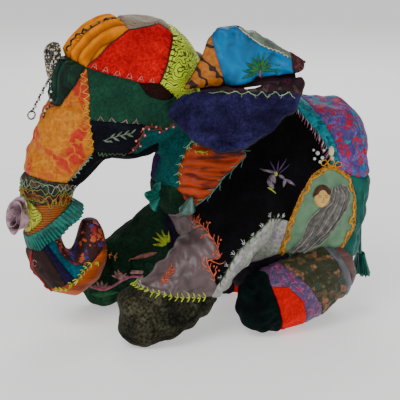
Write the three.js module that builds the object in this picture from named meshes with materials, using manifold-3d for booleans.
// A stuffed crazy-quilt elephant, sitting with its front legs stretched forward, in millimetres, +Z up.
// It faces -X, its left side is towards -Y, and it sits on z = 0.
// Places are laid out about the middle of the neck, and at the end the toy is centred over the origin.
// Each limb is a firm ball of stuffing under a skin of cloth patches, sewn edge to edge along a seam map.
import * as THREE from 'three';
import { mergeVertices } from 'three/addons/utils/BufferGeometryUtils.js';
import Module from 'manifold-3d';

const wasm = await Module();
wasm.setup();

// ---- driving dimensions ----
const CLOTH = 2; // thickness of a patch with its backing
const GAP = 0.3; // between neighbouring pieces
const SEAM = 0.4; // width of the groove between two patches
const HIP_SPLAY = 8; // how far a hind leg turns in or out at its hip, in degrees
const HIP_ROOM = 1; // clearance of a hind leg in its hip pocket
const TOLERANCE = 0.1; // how far a facet may be moved to merge small ones
const REACH = 400; // longer than the toy, for cutting boxes
const EAR_ROOM = { head: 2.5, torso: 4 }; // clearance of an ear where it is sewn on
const LEFT = -1;
const RIGHT = 1;

// A limb: points along its middle, its half width and half height at each point, and how blunt its ends are.
const HEAD = {
  spine: [[-108, 0, 205], [-72, 0, 205], [-22, 0, 205], [17, 0, 203]],
  girth: [[46, 58], [48, 61], [48, 61], [45, 58]],
  fullness: 2,
  mesh: [16, 12],
};
const TRUNK_ROOT = {
  spine: [[-60, 0, 200], [-86, 0, 175], [-106, 0, 151], [-118, 0, 127], [-121, 0, 104], [-121, 0, 50]],
  girth: [[40, 40], [37, 37], [33, 28], [26, 23], [20, 18.5], [17, 17]],
  fullness: 5,
  mesh: [14, 10],
};
const TRUNK_CURL = {
  spine: [[-121, 0, 130], [-121, 0, 76], [-113, 0, 56], [-98, 0, 49], [-85, 0, 60], [-82, 0, 78],
    [-84, 0, 96]],
  girth: [[17, 16], [17, 15.5], [21, 18.5], [21, 19], [19, 16], [15, 13], [9, 8]],
  fullness: 6,
  mesh: [12, 14],
};
const TORSO = {
  spine: [[-16, 0, 156], [22, 0, 138], [68, 0, 116], [114, 0, 96], [156, 0, 88]],
  girth: [[38, 46], [46, 67], [54, 83], [58, 98], [58, 98]],
  fullness: 5,
  mesh: [20, 12],
};
const onSide = (side) => ([x, y, z]) => [x, side * y, z];
const frontLeg = (side) => ({
  spine: [[62, 36, 122], [24, 46, 84], [-12, 56, 50], [-42, 60, 30], [-75, 62, 22]].map(onSide(side)),
  girth: [[36, 32], [34, 29], [30, 31], [28, 31], [26, 29]],
  fullness: 4.5,
  mesh: [12, 8],
});
const hindLeg = (side) => ({
  spine: [[30, 68, 30], [60, 60, 28], [92, 50, 35], [134, 36, 52]].map(onSide(side)),
  girth: [[25, 27], [28, 28], [30, 30], [32, 31]],
  fullness: 3.4,
  mesh: [12, 8],
});

const KNUCKLE = { centre: [-121, 0, 91], radius: 16, tilt: 35, drop: 6, sides: 24 }; // where the trunk bends
const HIP = [120, 44, 46]; // a hind leg turns about the upright line through here
const FRINGE = { top: 21.4, hem: 25.4, height: 13, thick: 1.8 };
const ROSE = { centre: [-152, -8, 101], size: [11, 15, 18] };
const FRINGE_ROOM = { top: 28, hem: 24, height: 18 }; // kept free of the rose
const JEWEL = { seat: [-100, 0, 228], wide: 18, tall: 31, deep: 19, lean: 12, cheek: 0.25 };
const DROP = { top: [-119, 0, 211], lean: 27, beads: 7, bead: 1.9, pitch: 3.9, ring: 4 };
const TAIL = { root: [161.5, 0, 122], wide: 17, long: 76, thick: 5 };
const FRILL = { wide: 26, tall: 21, deep: 11 }; // at the end of the tail
const BIB = { centre: [-24, 2, 104], size: [9, 30, 11] }; // the frill on the chest

// An ear: where its crease leaves the head, the crease's direction, and the way each lobe spreads from it.
const EAR_LOBES = {
  thick: 8,
  upper: [[2, 3], [15, 18], [28, 38], [38, 47], [54, 47], [70, 38], [102, 9], [100, 0], [50, -3]],
  lower: [[2, 4], [-12, 20], [5, 47], [24, 60], [46, 59], [70, 49], [90, 34], [101, 8], [98, 3]],
};
const EARS = {
  left: {
    root: [-17, -46, 209],
    crease: [0.959, -0.256, 0.123],
    rise: [-0.13, -0.01, 0.992],
    fall: [-0.04, -0.56, -0.83],
  },
  right: {
    root: [-15, 47, 198],
    crease: [0.945, 0.24, -0.2],
    rise: [0.1, 0.72, 0.68],
    fall: [-0.04, 0.42, -0.9],
  },
};

// ---- the seam map: places in side view, as [x, z], where seams meet ----
const HEAD_SEAMS = {
  browTip: [-123, 181], browLow: [-114, 196], browMid: [-102, 213], browTop: [-91, 229],
  foreheadLow: [-71, 247], foreheadTop: [-53, 257], crown: [-24, 260], nape: [-14, 253],
  redLow: [-51, 217], redBack: [-33, 215], limeLow: [-18, 202],
  greenBack: [-46, 181], greenFront: [-90, 186],
  cheekFront: [-86, 159], cheekMid: [-69, 155], cheekBack: [-46, 152],
  laceBack: [-107, 133], laceFront: [-139, 139], bandBack: [-108, 118], bandFront: [-140, 112],
};
const BODY_SEAMS = {
  back: [8, 168], shoulder: [-7, 156], neckMid: [-14, 140], neckLow: [-13, 124], rustTip: [0, 108],
  rustLow: [12, 120], rustMid: [22, 133], rustBack: [44, 152],
  satinTop: [-4, 104], satinBack: [-8, 78], satinHem: [4, 50],
  printFront: [14, 40], printMid: [22, 78], printBack: [55, 101], printLow: [45, 52], printHem: [70, 63],
  medalFront: [77, 93], medalUp: [86, 115], medalTop: [99, 133], medalCrown: [115, 139],
  medalBack: [131, 129], medalRear: [138, 107], medalHeel: [137, 81], medalHem: [124, 62],
  rumpTop: [93, 185], rumpMid: [103, 171], rumpLow: [114, 153], tealTop: [148, 124], seatBack: [140, 52],
  footTop: [-62, 56], footMid: [-30, 39], footBack: [6, 30],
};
const LEG_SEAMS = { footTop: [60, 75], footMid: [51, 48], footHem: [66, -5] };

// A sphere bent along the spine: its height runs along the spine, and its section takes the girth.
// The whole surface is then moved out by grow. Its facets are as many as its mesh says.
function stuffed({ spine, girth, fullness, mesh: [sides, stacks] }, grow = 0) {
  const path = new THREE.CatmullRomCurve3(spine.map((p) => new THREE.Vector3(...p)), false, 'chordal');
  const radii = new THREE.CatmullRomCurve3(girth.map(([w, h]) => new THREE.Vector3(w, h, 0)));
  const skin = new THREE.SphereGeometry(1, sides, stacks);
  const at = skin.getAttribute('position');
  const across = new THREE.Vector3(0, 1, 0);
  for (let i = 0; i < at.count; i++) {
    const v = new THREE.Vector3().fromBufferAttribute(at, i);
    const along = THREE.MathUtils.clamp(v.y, -1, 1);
    const u = (1 - along) / 2;
    const ring = Math.pow(Math.max(0, 1 - Math.pow(Math.abs(along), fullness)), 1 / fullness);
    const angle = Math.atan2(v.z, v.x);
    const tangent = path.getTangent(u);
    const side = across.clone().addScaledVector(tangent, -across.dot(tangent)).normalize();
    const up = tangent.clone().cross(side);
    const r = radii.getPoint(u);
    const p = path.getPoint(u)
      .addScaledVector(side, Math.cos(angle) * ring * r.x)
      .addScaledVector(up, Math.sin(angle) * ring * r.y);
    at.setXYZ(i, p.x, p.y, p.z);
  }
  return solid(offset(bare(skin), grow));
}
// Moves every point of a closed surface out along its normal.
function offset(geometry, distance) {
  geometry.computeVertexNormals();
  const at = geometry.getAttribute('position');
  const out = geometry.getAttribute('normal');
  for (let i = 0; i < at.count; i++) {
    at.setXYZ(i, at.getX(i) + out.getX(i) * distance, at.getY(i) + out.getY(i) * distance,
      at.getZ(i) + out.getZ(i) * distance);
  }
  return geometry;
}

// ---- three.js geometry to a solid, and back ----
function bare(geometry) {
  const positions = geometry.clone();
  for (const name of ['normal', 'uv']) positions.deleteAttribute(name);
  return mergeVertices(positions, 1e-3);
}
function solid(geometry) {
  const merged = bare(geometry);
  return new wasm.Manifold(new wasm.Mesh({
    numProp: 3,
    vertProperties: merged.attributes.position.array,
    triVerts: new Uint32Array(merged.index.array),
  }));
}
function geometryOf(made) {
  const { vertProperties, triVerts, numProp, numVert } = made.getMesh();
  const points = new Float32Array(numVert * 3);
  for (let i = 0; i < numVert; i++) {
    points.set(vertProperties.subarray(i * numProp, i * numProp + 3), i * 3);
  }
  return new THREE.BufferGeometry()
    .setAttribute('position', new THREE.BufferAttribute(points, 3))
    .setIndex(new THREE.BufferAttribute(triVerts, 1));
}
function block(low, high) {
  const box = new THREE.Box3(new THREE.Vector3(...low), new THREE.Vector3(...high));
  const size = box.getSize(new THREE.Vector3());
  const centre = box.getCenter(new THREE.Vector3());
  return solid(new THREE.BoxGeometry(size.x, size.y, size.z).translate(centre.x, centre.y, centre.z));
}
function ball(centre, radius, sides = 20) {
  return solid(new THREE.SphereGeometry(radius, sides, sides / 2).translate(...centre));
}
const joined = (pieces) => pieces.reduce((all, piece) => all.add(piece));

// The largest separate lump of a solid, so that no sliver is left beside it.
function mainLump(made) {
  const lumps = made.decompose();
  return lumps.reduce((best, lump) => (lump.volume() > best.volume() ? lump : best));
}

// ---- the seam map's tools ----
// A straight-sided block over an outline drawn in side view, from y = low to y = high.
function prism(outline, low, high) {
  const shape = new THREE.Shape(outline.map(([x, z]) => new THREE.Vector2(x, z)));
  const made = new THREE.ExtrudeGeometry(shape, { depth: high - low, bevelEnabled: false });
  return solid(made.rotateX(Math.PI / 2).translate(0, high, 0));
}
// A thin wall standing on each edge of each outline: taking it away leaves the groove of a seam.
function seamWalls(outlines) {
  const walls = new Map();
  for (const outline of outlines) {
    outline.forEach((a, i) => {
      const b = outline[(i + 1) % outline.length];
      const key = [a, b].map(String).sort().join('|');
      const length = Math.hypot(b[0] - a[0], b[1] - a[1]);
      const wall = new THREE.BoxGeometry(length + SEAM, REACH, SEAM)
        .rotateY(-Math.atan2(b[1] - a[1], b[0] - a[0]))
        .translate((a[0] + b[0]) / 2, 0, (a[1] + b[1]) / 2);
      walls.set(key, solid(wall));
    });
  }
  return joined([...walls.values()]);
}
// The groove down the middle of the toy, where a left patch meets its right twin.
const MIDLINE = [-SEAM / 2, SEAM / 2];
const ACROSS = [-REACH / 2, REACH / 2]; // a patch that runs over both sides

// Outlines run past the toy to these lines, out in the open.
const PAST_TRUNK = -180;
const PAST_FACE = -125;
const PAST_NOSE_TIP = 248;
const PAST_HEAD = 290;
const PAST_NAPE = 60;
const PAST_BACK = 260;
const PAST_RUMP = 220;
const PAST_CHEST = -90;
const PAST_FOOT = -140;
const PAST_SOLE = -10;

// ---- the toy ----
const elephant = new THREE.Group();
function add(name, made, color, roughness = 0.9) {
  const material = new THREE.MeshStandardMaterial({ color, roughness, metalness: 0 });
  const rounded = solid(geometryOf(made.simplify(TOLERANCE))); // at the precision of a mesh
  const mesh = new THREE.Mesh(geometryOf(mainLump(rounded)), material);
  mesh.name = name;
  elephant.add(mesh);
}

// Cuts a skin into patches: each is [name, colour, outline, low y, high y].
function addPatches(skin, patches) {
  const cut = skin.subtract(seamWalls(patches.map((patch) => patch[2])));
  for (const [name, color, outline, low, high] of patches) {
    add(name, cut.intersect(prism(outline, low, high)), color);
  }
}
// The same patch on the left and on the right, with a name and a colour for each side.
function pair(name, [leftColor, rightColor], outline, inner = 0) {
  return [
    [`${name}_left`, leftColor, outline, -REACH / 2, Math.min(-inner, MIDLINE[0])],
    [`${name}_right`, rightColor, outline, Math.max(inner, MIDLINE[1]), REACH / 2],
  ];
}

// A half space on the far side of the tilted plane where the trunk bends, shifted along the trunk.
function pastKnuckle(shift, above) {
  const [x, y, z] = KNUCKLE.centre;
  const half = REACH / 2;
  return solid(new THREE.BoxGeometry(REACH, REACH, REACH)
    .translate(0, 0, (above ? half : -half) + shift)
    .rotateY(-THREE.MathUtils.degToRad(KNUCKLE.tilt))
    .translate(x, y, z));
}

// Each limb's form at four sizes: its outside, the inside of its cloth, its stuffing, and the space it needs.
const rootOfTrunk = (grow) => stuffed(TRUNK_ROOT, grow).subtract(pastKnuckle(0, false));
const forms = (grow) => ({
  head: stuffed(HEAD, grow),
  torso: stuffed(TORSO, grow),
  legs: [LEFT, RIGHT].map((side) => stuffed(frontLeg(side), grow)),
  hind: [LEFT, RIGHT].map((side) => stuffed(hindLeg(side), grow)),
});
const outer = forms(0);
const lining = forms(-CLOTH);
const fill = forms(-CLOTH - GAP);
const spaced = forms(GAP);

// A hind leg turns in a pocket: the leg swept over its range, with room to spare.
const pockets = joined([LEFT, RIGHT].map((side) => {
  const leg = stuffed(hindLeg(side), HIP_ROOM);
  const [x, y] = [HIP[0], HIP[1] * side];
  const turned = [-HIP_SPLAY, 0, HIP_SPLAY].map((angle) => leg.translate(-x, -y, 0)
    .rotate(0, 0, angle)
    .translate(x, y, 0));
  return joined(turned);
}));

// The skin of the head with the root of the trunk, and of the torso with the front legs.
const headForm = outer.head.add(rootOfTrunk(0));
const headSkin = headForm.subtract(lining.head.add(rootOfTrunk(-CLOTH)));
const headSpace = spaced.head.add(rootOfTrunk(GAP));
const upTo = (height) => block([-REACH, -REACH, -REACH], [REACH, REACH, height]);
const bodyForm = joined([outer.torso, ...outer.legs]).subtract(upTo(0));
const bodySkin = bodyForm
  .subtract(joined([lining.torso, ...lining.legs]).subtract(upTo(CLOTH)))
  .subtract(headSpace)
  .subtract(pockets);

const WADDING = 0xd9d2c3;
function addStuffing() {
  const floor = upTo(CLOTH + GAP);
  add('stuffing_head', fill.head, WADDING);
  const knuckle = ball(KNUCKLE.centre, KNUCKLE.radius).subtract(pastKnuckle(-GAP, true))
    .add(ball(KNUCKLE.centre, KNUCKLE.radius - 2 * CLOTH));
  add('stuffing_trunk', stuffed(TRUNK_ROOT, -CLOTH - 2 * GAP).subtract(pastKnuckle(0, false))
    .subtract(outer.head).add(knuckle), WADDING);
  add('stuffing_torso', fill.torso.subtract(headSpace).subtract(pockets).subtract(floor), WADDING);
  const torsoSpace = stuffed(TORSO, GAP - CLOTH).add(headSpace).add(pockets).add(floor);
  add('stuffing_front_leg_left', fill.legs[0].subtract(torsoSpace), WADDING);
  add('stuffing_front_leg_right', fill.legs[1].subtract(torsoSpace), WADDING);
}

function addHeadPatches() {
  const s = HEAD_SEAMS;
  const insideChin = [[-30, 148], [-30, 100], [-80, 100]];
  const insideLace = [[-80, 126], [-80, 118]];
  const insideBand = [[-80, 118], [-80, 70]];
  addPatches(headSkin, [
    ['brow_green_satin', 0x08382c,
      [s.browTip, s.browLow, s.browMid, s.browTop, [PAST_FACE, PAST_NOSE_TIP], [PAST_TRUNK, PAST_NOSE_TIP],
        [PAST_TRUNK, s.browTip[1]]], ...ACROSS],
    ['brow_gold_silk', 0xf2a60d,
      [s.browTop, s.foreheadLow, s.foreheadTop, [-64, PAST_HEAD], [PAST_FACE, PAST_HEAD],
        [PAST_FACE, PAST_NOSE_TIP]], ...ACROSS],
    ['crown_brocade', 0x8a8378,
      [s.foreheadTop, s.crown, s.nape, [-12, PAST_HEAD], [-64, PAST_HEAD]], ...ACROSS],
    ['chin_black_velvet', 0x0d0d10,
      [s.laceBack, s.cheekFront, s.cheekMid, s.cheekBack, ...insideChin], ...ACROSS],
    ...pair('cheek_red_velvet', [0xbf0d0d, 0x8c1426],
      [s.browTop, s.redLow, s.redBack, s.nape, s.crown, s.foreheadTop, s.foreheadLow]),
    ...pair('nape_lime_brocade', [0xb3d140, 0xa8b84a],
      [s.redBack, s.limeLow, [PAST_NAPE, s.limeLow[1]], [PAST_NAPE, PAST_HEAD], [-12, PAST_HEAD], s.nape]),
    ...pair('temple_green_velvet', [0x0f402b, 0x123c50],
      [s.browTop, s.greenFront, s.greenBack, s.limeLow, s.redBack, s.redLow]),
    ...pair('cheek_black_velvet', [0x101014, 0x16101c],
      [s.greenFront, s.cheekFront, s.cheekMid, s.cheekBack, s.greenBack]),
    ...pair('trunk_paisley', [0xd96626, 0xc85a2e],
      [s.browTip, [PAST_TRUNK, s.browTip[1]], [PAST_TRUNK, 141], s.laceFront, s.laceBack, s.cheekFront,
        s.greenFront, s.browTop, s.browMid, s.browLow]),
    ['trunk_lace', 0x2b2622,
      [s.laceFront, s.laceBack, ...insideLace, s.bandBack, s.bandFront, [PAST_TRUNK, s.bandFront[1]],
        [PAST_TRUNK, 141]], ...ACROSS],
    ['trunk_orange_band', 0xd9661a,
      [s.bandFront, s.bandBack, ...insideBand, [PAST_TRUNK, 70], [PAST_TRUNK, s.bandFront[1]]], ...ACROSS],
  ]);
}

function addBodyPatches() {
  const s = BODY_SEAMS;
  const chestHalf = 26;
  const satin = [s.satinTop, s.satinBack, s.satinHem, s.footBack, s.footMid, s.footTop, [PAST_CHEST, 60],
    [PAST_CHEST, s.satinTop[1]]];
  const foot = [s.footTop, s.footMid, s.footBack, [s.footBack[0], PAST_SOLE], [PAST_FOOT, PAST_SOLE],
    [PAST_FOOT, 60], [PAST_CHEST, 60]];
  addPatches(bodySkin, [
    ...pair('neck_teal_velvet', [0x004040, 0x2a1c48],
      [[s.back[0], PAST_BACK], s.back, s.shoulder, s.neckMid, s.neckLow, [PAST_CHEST, s.neckLow[1]],
        [PAST_CHEST, PAST_BACK]]),
    ...pair('shoulder_rust_silk', [0xa62b05, 0x7a1f30],
      [s.back, s.shoulder, s.neckMid, s.neckLow, s.rustTip, s.rustLow, s.rustMid, s.rustBack]),
    ...pair('flank_black_velvet', [0x09090b, 0x0f0b18],
      [[s.back[0], PAST_BACK], [s.rumpTop[0], PAST_BACK], s.rumpTop, s.rumpMid, s.rumpLow, s.medalCrown,
        s.medalTop, s.medalUp, s.medalFront, s.printBack, s.printMid, s.satinHem, s.satinBack, s.satinTop,
        s.rustTip, s.rustLow, s.rustMid, s.rustBack, s.back]),
    ...pair('flank_print_silk', [0xb9b5ab, 0x9aa7a0],
      [s.medalFront, s.printBack, s.printMid, s.satinHem, s.printFront, s.printLow, s.printHem]),
    ...pair('medallion_silk', [0x66997a, 0x7f8fb0],
      [s.medalFront, s.medalUp, s.medalTop, s.medalCrown, s.medalBack, s.medalRear, s.medalHeel, s.medalHem,
        s.printHem]),
    ...pair('rump_paisley', [0xa03050, 0x8a4030],
      [[s.rumpTop[0], PAST_BACK], [PAST_RUMP, PAST_BACK], [PAST_RUMP, s.tealTop[1]], s.tealTop, s.medalBack,
        s.medalCrown, s.rumpLow, s.rumpMid, s.rumpTop]),
    ['rump_teal_satin', 0x00695e,
      [s.tealTop, [PAST_RUMP, s.tealTop[1]], [PAST_RUMP, s.seatBack[1]], s.seatBack, s.medalHem, s.medalHeel,
        s.medalRear, s.medalBack], ...ACROSS],
    ['seat_velvet', 0x161218,
      [s.printFront, s.printLow, s.printHem, s.medalHem, s.seatBack, [PAST_RUMP, s.seatBack[1]],
        [PAST_RUMP, PAST_SOLE], [s.footBack[0], PAST_SOLE], s.footBack, s.satinHem], ...ACROSS],
    ['front_leg_satin_left', 0x614d52, satin, ACROSS[0], -chestHalf],
    ['front_leg_velvet_right', 0x14281c, satin, chestHalf, ACROSS[1]],
    ['chest_velvet', 0x101410,
      [s.neckLow, s.rustTip, s.satinTop, s.satinBack, s.satinHem, [PAST_CHEST, s.satinHem[1]],
        [PAST_CHEST, s.neckLow[1]]], -chestHalf + SEAM, chestHalf - SEAM],
    ['front_foot_left', 0x1c1c1a, foot, ACROSS[0], MIDLINE[0]],
    ['front_foot_right', 0x1b3a24, foot, MIDLINE[1], ACROSS[1]],
  ]);
}

function addHindLegs() {
  const s = LEG_SEAMS;
  const [behind, above] = [200, 110];
  const footLine = [s.footTop, s.footMid, s.footHem];
  const foot = [...footLine, [-20, s.footHem[1]], [-20, s.footTop[1]]];
  const shin = [...footLine, [behind, s.footHem[1]], [behind, above], [s.footTop[0], above]];
  ['left', 'right'].forEach((side, i) => {
    const skin = outer.hind[i].subtract(upTo(0)).subtract(lining.hind[i].subtract(upTo(CLOTH)));
    add(`stuffing_hind_leg_${side}`, fill.hind[i].subtract(upTo(CLOTH + GAP)), WADDING);
    addPatches(skin, [
      [`hind_foot_velvet_${side}`, 0x0a1f1f, foot, ...ACROSS],
      [`hind_leg_patchwork_${side}`, 0x7a5a34, shin, ...ACROSS],
    ]);
  });
}

// The curl at the end of the trunk turns about the knuckle.
function addTrunkCurl() {
  const shape = (grow) => stuffed(TRUNK_CURL, grow).subtract(pastKnuckle(-KNUCKLE.drop, true));
  const socket = ball(KNUCKLE.centre, KNUCKLE.radius + 2 * GAP);
  add('stuffing_trunk_curl', shape(-CLOTH - GAP).subtract(socket), WADDING);
  add('trunk_curl_cover', shape(0).subtract(stuffed(TRUNK_CURL, -CLOTH)).subtract(socket), 0x5a2a1c);
}
// Turns a ring or drum that stands about +Z so that it lies across the bend of the trunk.
function atKnuckle(geometry) {
  return geometry.rotateX(Math.PI / 2)
    .rotateY(-THREE.MathUtils.degToRad(KNUCKLE.tilt))
    .translate(...KNUCKLE.centre);
}
function addFringe() {
  const { top, hem, height, thick } = FRINGE;
  const half = height / 2;
  const profile = [[top, half], [hem, -half], [hem + thick, -half], [top + thick, half], [top, half]];
  const ring = new THREE.LatheGeometry(profile.map(([r, z]) => new THREE.Vector2(r, z)), KNUCKLE.sides);
  add('trunk_fringe', solid(atKnuckle(ring)).subtract(rootOfTrunk(GAP)), 0x00735f);
}
function addRose() {
  const { top, hem, height } = FRINGE_ROOM;
  const petals = solid(new THREE.SphereGeometry(1, 14, 8).scale(...ROSE.size).translate(...ROSE.centre));
  const clear = solid(atKnuckle(new THREE.CylinderGeometry(hem, top, height, KNUCKLE.sides)));
  add('ribbon_rose', petals.subtract(rootOfTrunk(GAP)).subtract(clear), 0x8c6678);
}

// The brooch is a teardrop on the forehead, and a string of beads hangs from it.
const onForehead = (geometry, { lean }, place) => geometry
  .rotateY(THREE.MathUtils.degToRad(lean))
  .translate(...place);
function addJewel() {
  const { wide, tall, deep, cheek, seat } = JEWEL;
  const drop = new THREE.Shape().absarc(0, (tall - wide) / 2, wide / 2, -cheek, Math.PI + cheek, false);
  drop.lineTo(0, -tall / 2);
  const body = new THREE.ExtrudeGeometry(drop, { depth: deep, bevelEnabled: false, curveSegments: 10 })
    .rotateX(Math.PI / 2)
    .rotateZ(-Math.PI / 2);
  add('forehead_jewel', solid(onForehead(body, JEWEL, seat)).subtract(stuffed(HEAD, GAP)), 0x2e2b26, 0.4);
}
function addDrop() {
  const { beads, bead, pitch, ring } = DROP;
  const profile = [new THREE.Vector2(0, bead)];
  for (let i = 0; i < beads; i++) {
    profile.push(new THREE.Vector2(bead, -i * pitch), new THREE.Vector2(bead / 2, -(i + 0.5) * pitch));
  }
  const end = -beads * pitch;
  profile.push(new THREE.Vector2(ring, end - ring / 2), new THREE.Vector2(0, end - ring));
  const string = new THREE.LatheGeometry(profile.reverse(), 8).rotateX(Math.PI / 2);
  add('bead_drop', solid(onForehead(string, DROP, DROP.top)), 0x1f1d1b, 0.3);
}

// An ear is two padded lobes that meet in a crease; each lobe is an outline with a rounded rim.
function lobe(outline, ear, spread, grow = 0) {
  const rim = EAR_LOBES.thick / 2;
  const shape = new THREE.Shape(outline.map(([u, v]) => new THREE.Vector2(u, v)));
  const pad = new THREE.ExtrudeGeometry(shape, {
    depth: 0.5,
    bevelThickness: rim + grow,
    bevelSize: grow,
    bevelOffset: 0,
    bevelSegments: 2,
    curveSegments: 4,
  });
  const along = new THREE.Vector3(...ear.crease).normalize();
  const up = new THREE.Vector3(...spread);
  up.addScaledVector(along, -up.dot(along)).normalize();
  const out = along.clone().cross(up);
  return solid(pad.applyMatrix4(new THREE.Matrix4().makeBasis(along, up, out).setPosition(...ear.root)));
}
function addEars() {
  const clear = stuffed(HEAD, EAR_ROOM.head).add(stuffed(TORSO, EAR_ROOM.torso));
  for (const [side, ear] of Object.entries(EARS)) {
    const upper = lobe(EAR_LOBES.upper, ear, ear.rise);
    const lower = lobe(EAR_LOBES.lower, ear, ear.fall).subtract(lobe(EAR_LOBES.upper, ear, ear.rise, GAP));
    add(`ear_upper_${side}`, upper.subtract(clear), 0x0059a6, 0.5);
    add(`ear_lower_${side}`, lower.subtract(clear), 0x1a1440);
  }
}

function addTail() {
  const { root, wide, long, thick } = TAIL;
  const strip = block([root[0], -wide / 2, root[2] - long], [root[0] + thick, wide / 2, root[2]]);
  add('tail_satin', strip, 0x00736b, 0.5);
  const hem = root[2] - long - GAP;
  const frill = new THREE.CylinderGeometry(FRILL.wide / 3, FRILL.wide / 2, FRILL.tall, 12)
    .rotateX(Math.PI / 2)
    .scale(FRILL.deep / FRILL.wide, 1, 1);
  add('tail_frill', solid(frill.translate(root[0] + FRILL.deep / 2, 0, hem - FRILL.tall / 2)), 0x00806f, 0.5);
}
function addBib() {
  const bib = solid(new THREE.SphereGeometry(1, 12, 8).scale(...BIB.size).translate(...BIB.centre));
  add('chest_frill', bib.subtract(joined([spaced.torso, ...spaced.legs])), 0x00806f, 0.5);
}

addStuffing();
addHeadPatches();
addBodyPatches();
addHindLegs();
addTrunkCurl();
addFringe();
addRose();
addJewel();
addDrop();
addEars();
addTail();
addBib();
// The middle of its length and width stands over the origin.
const middle = new THREE.Box3().setFromObject(elephant).getCenter(new THREE.Vector3());
elephant.position.set(-middle.x, -middle.y, 0);
export default elephant;
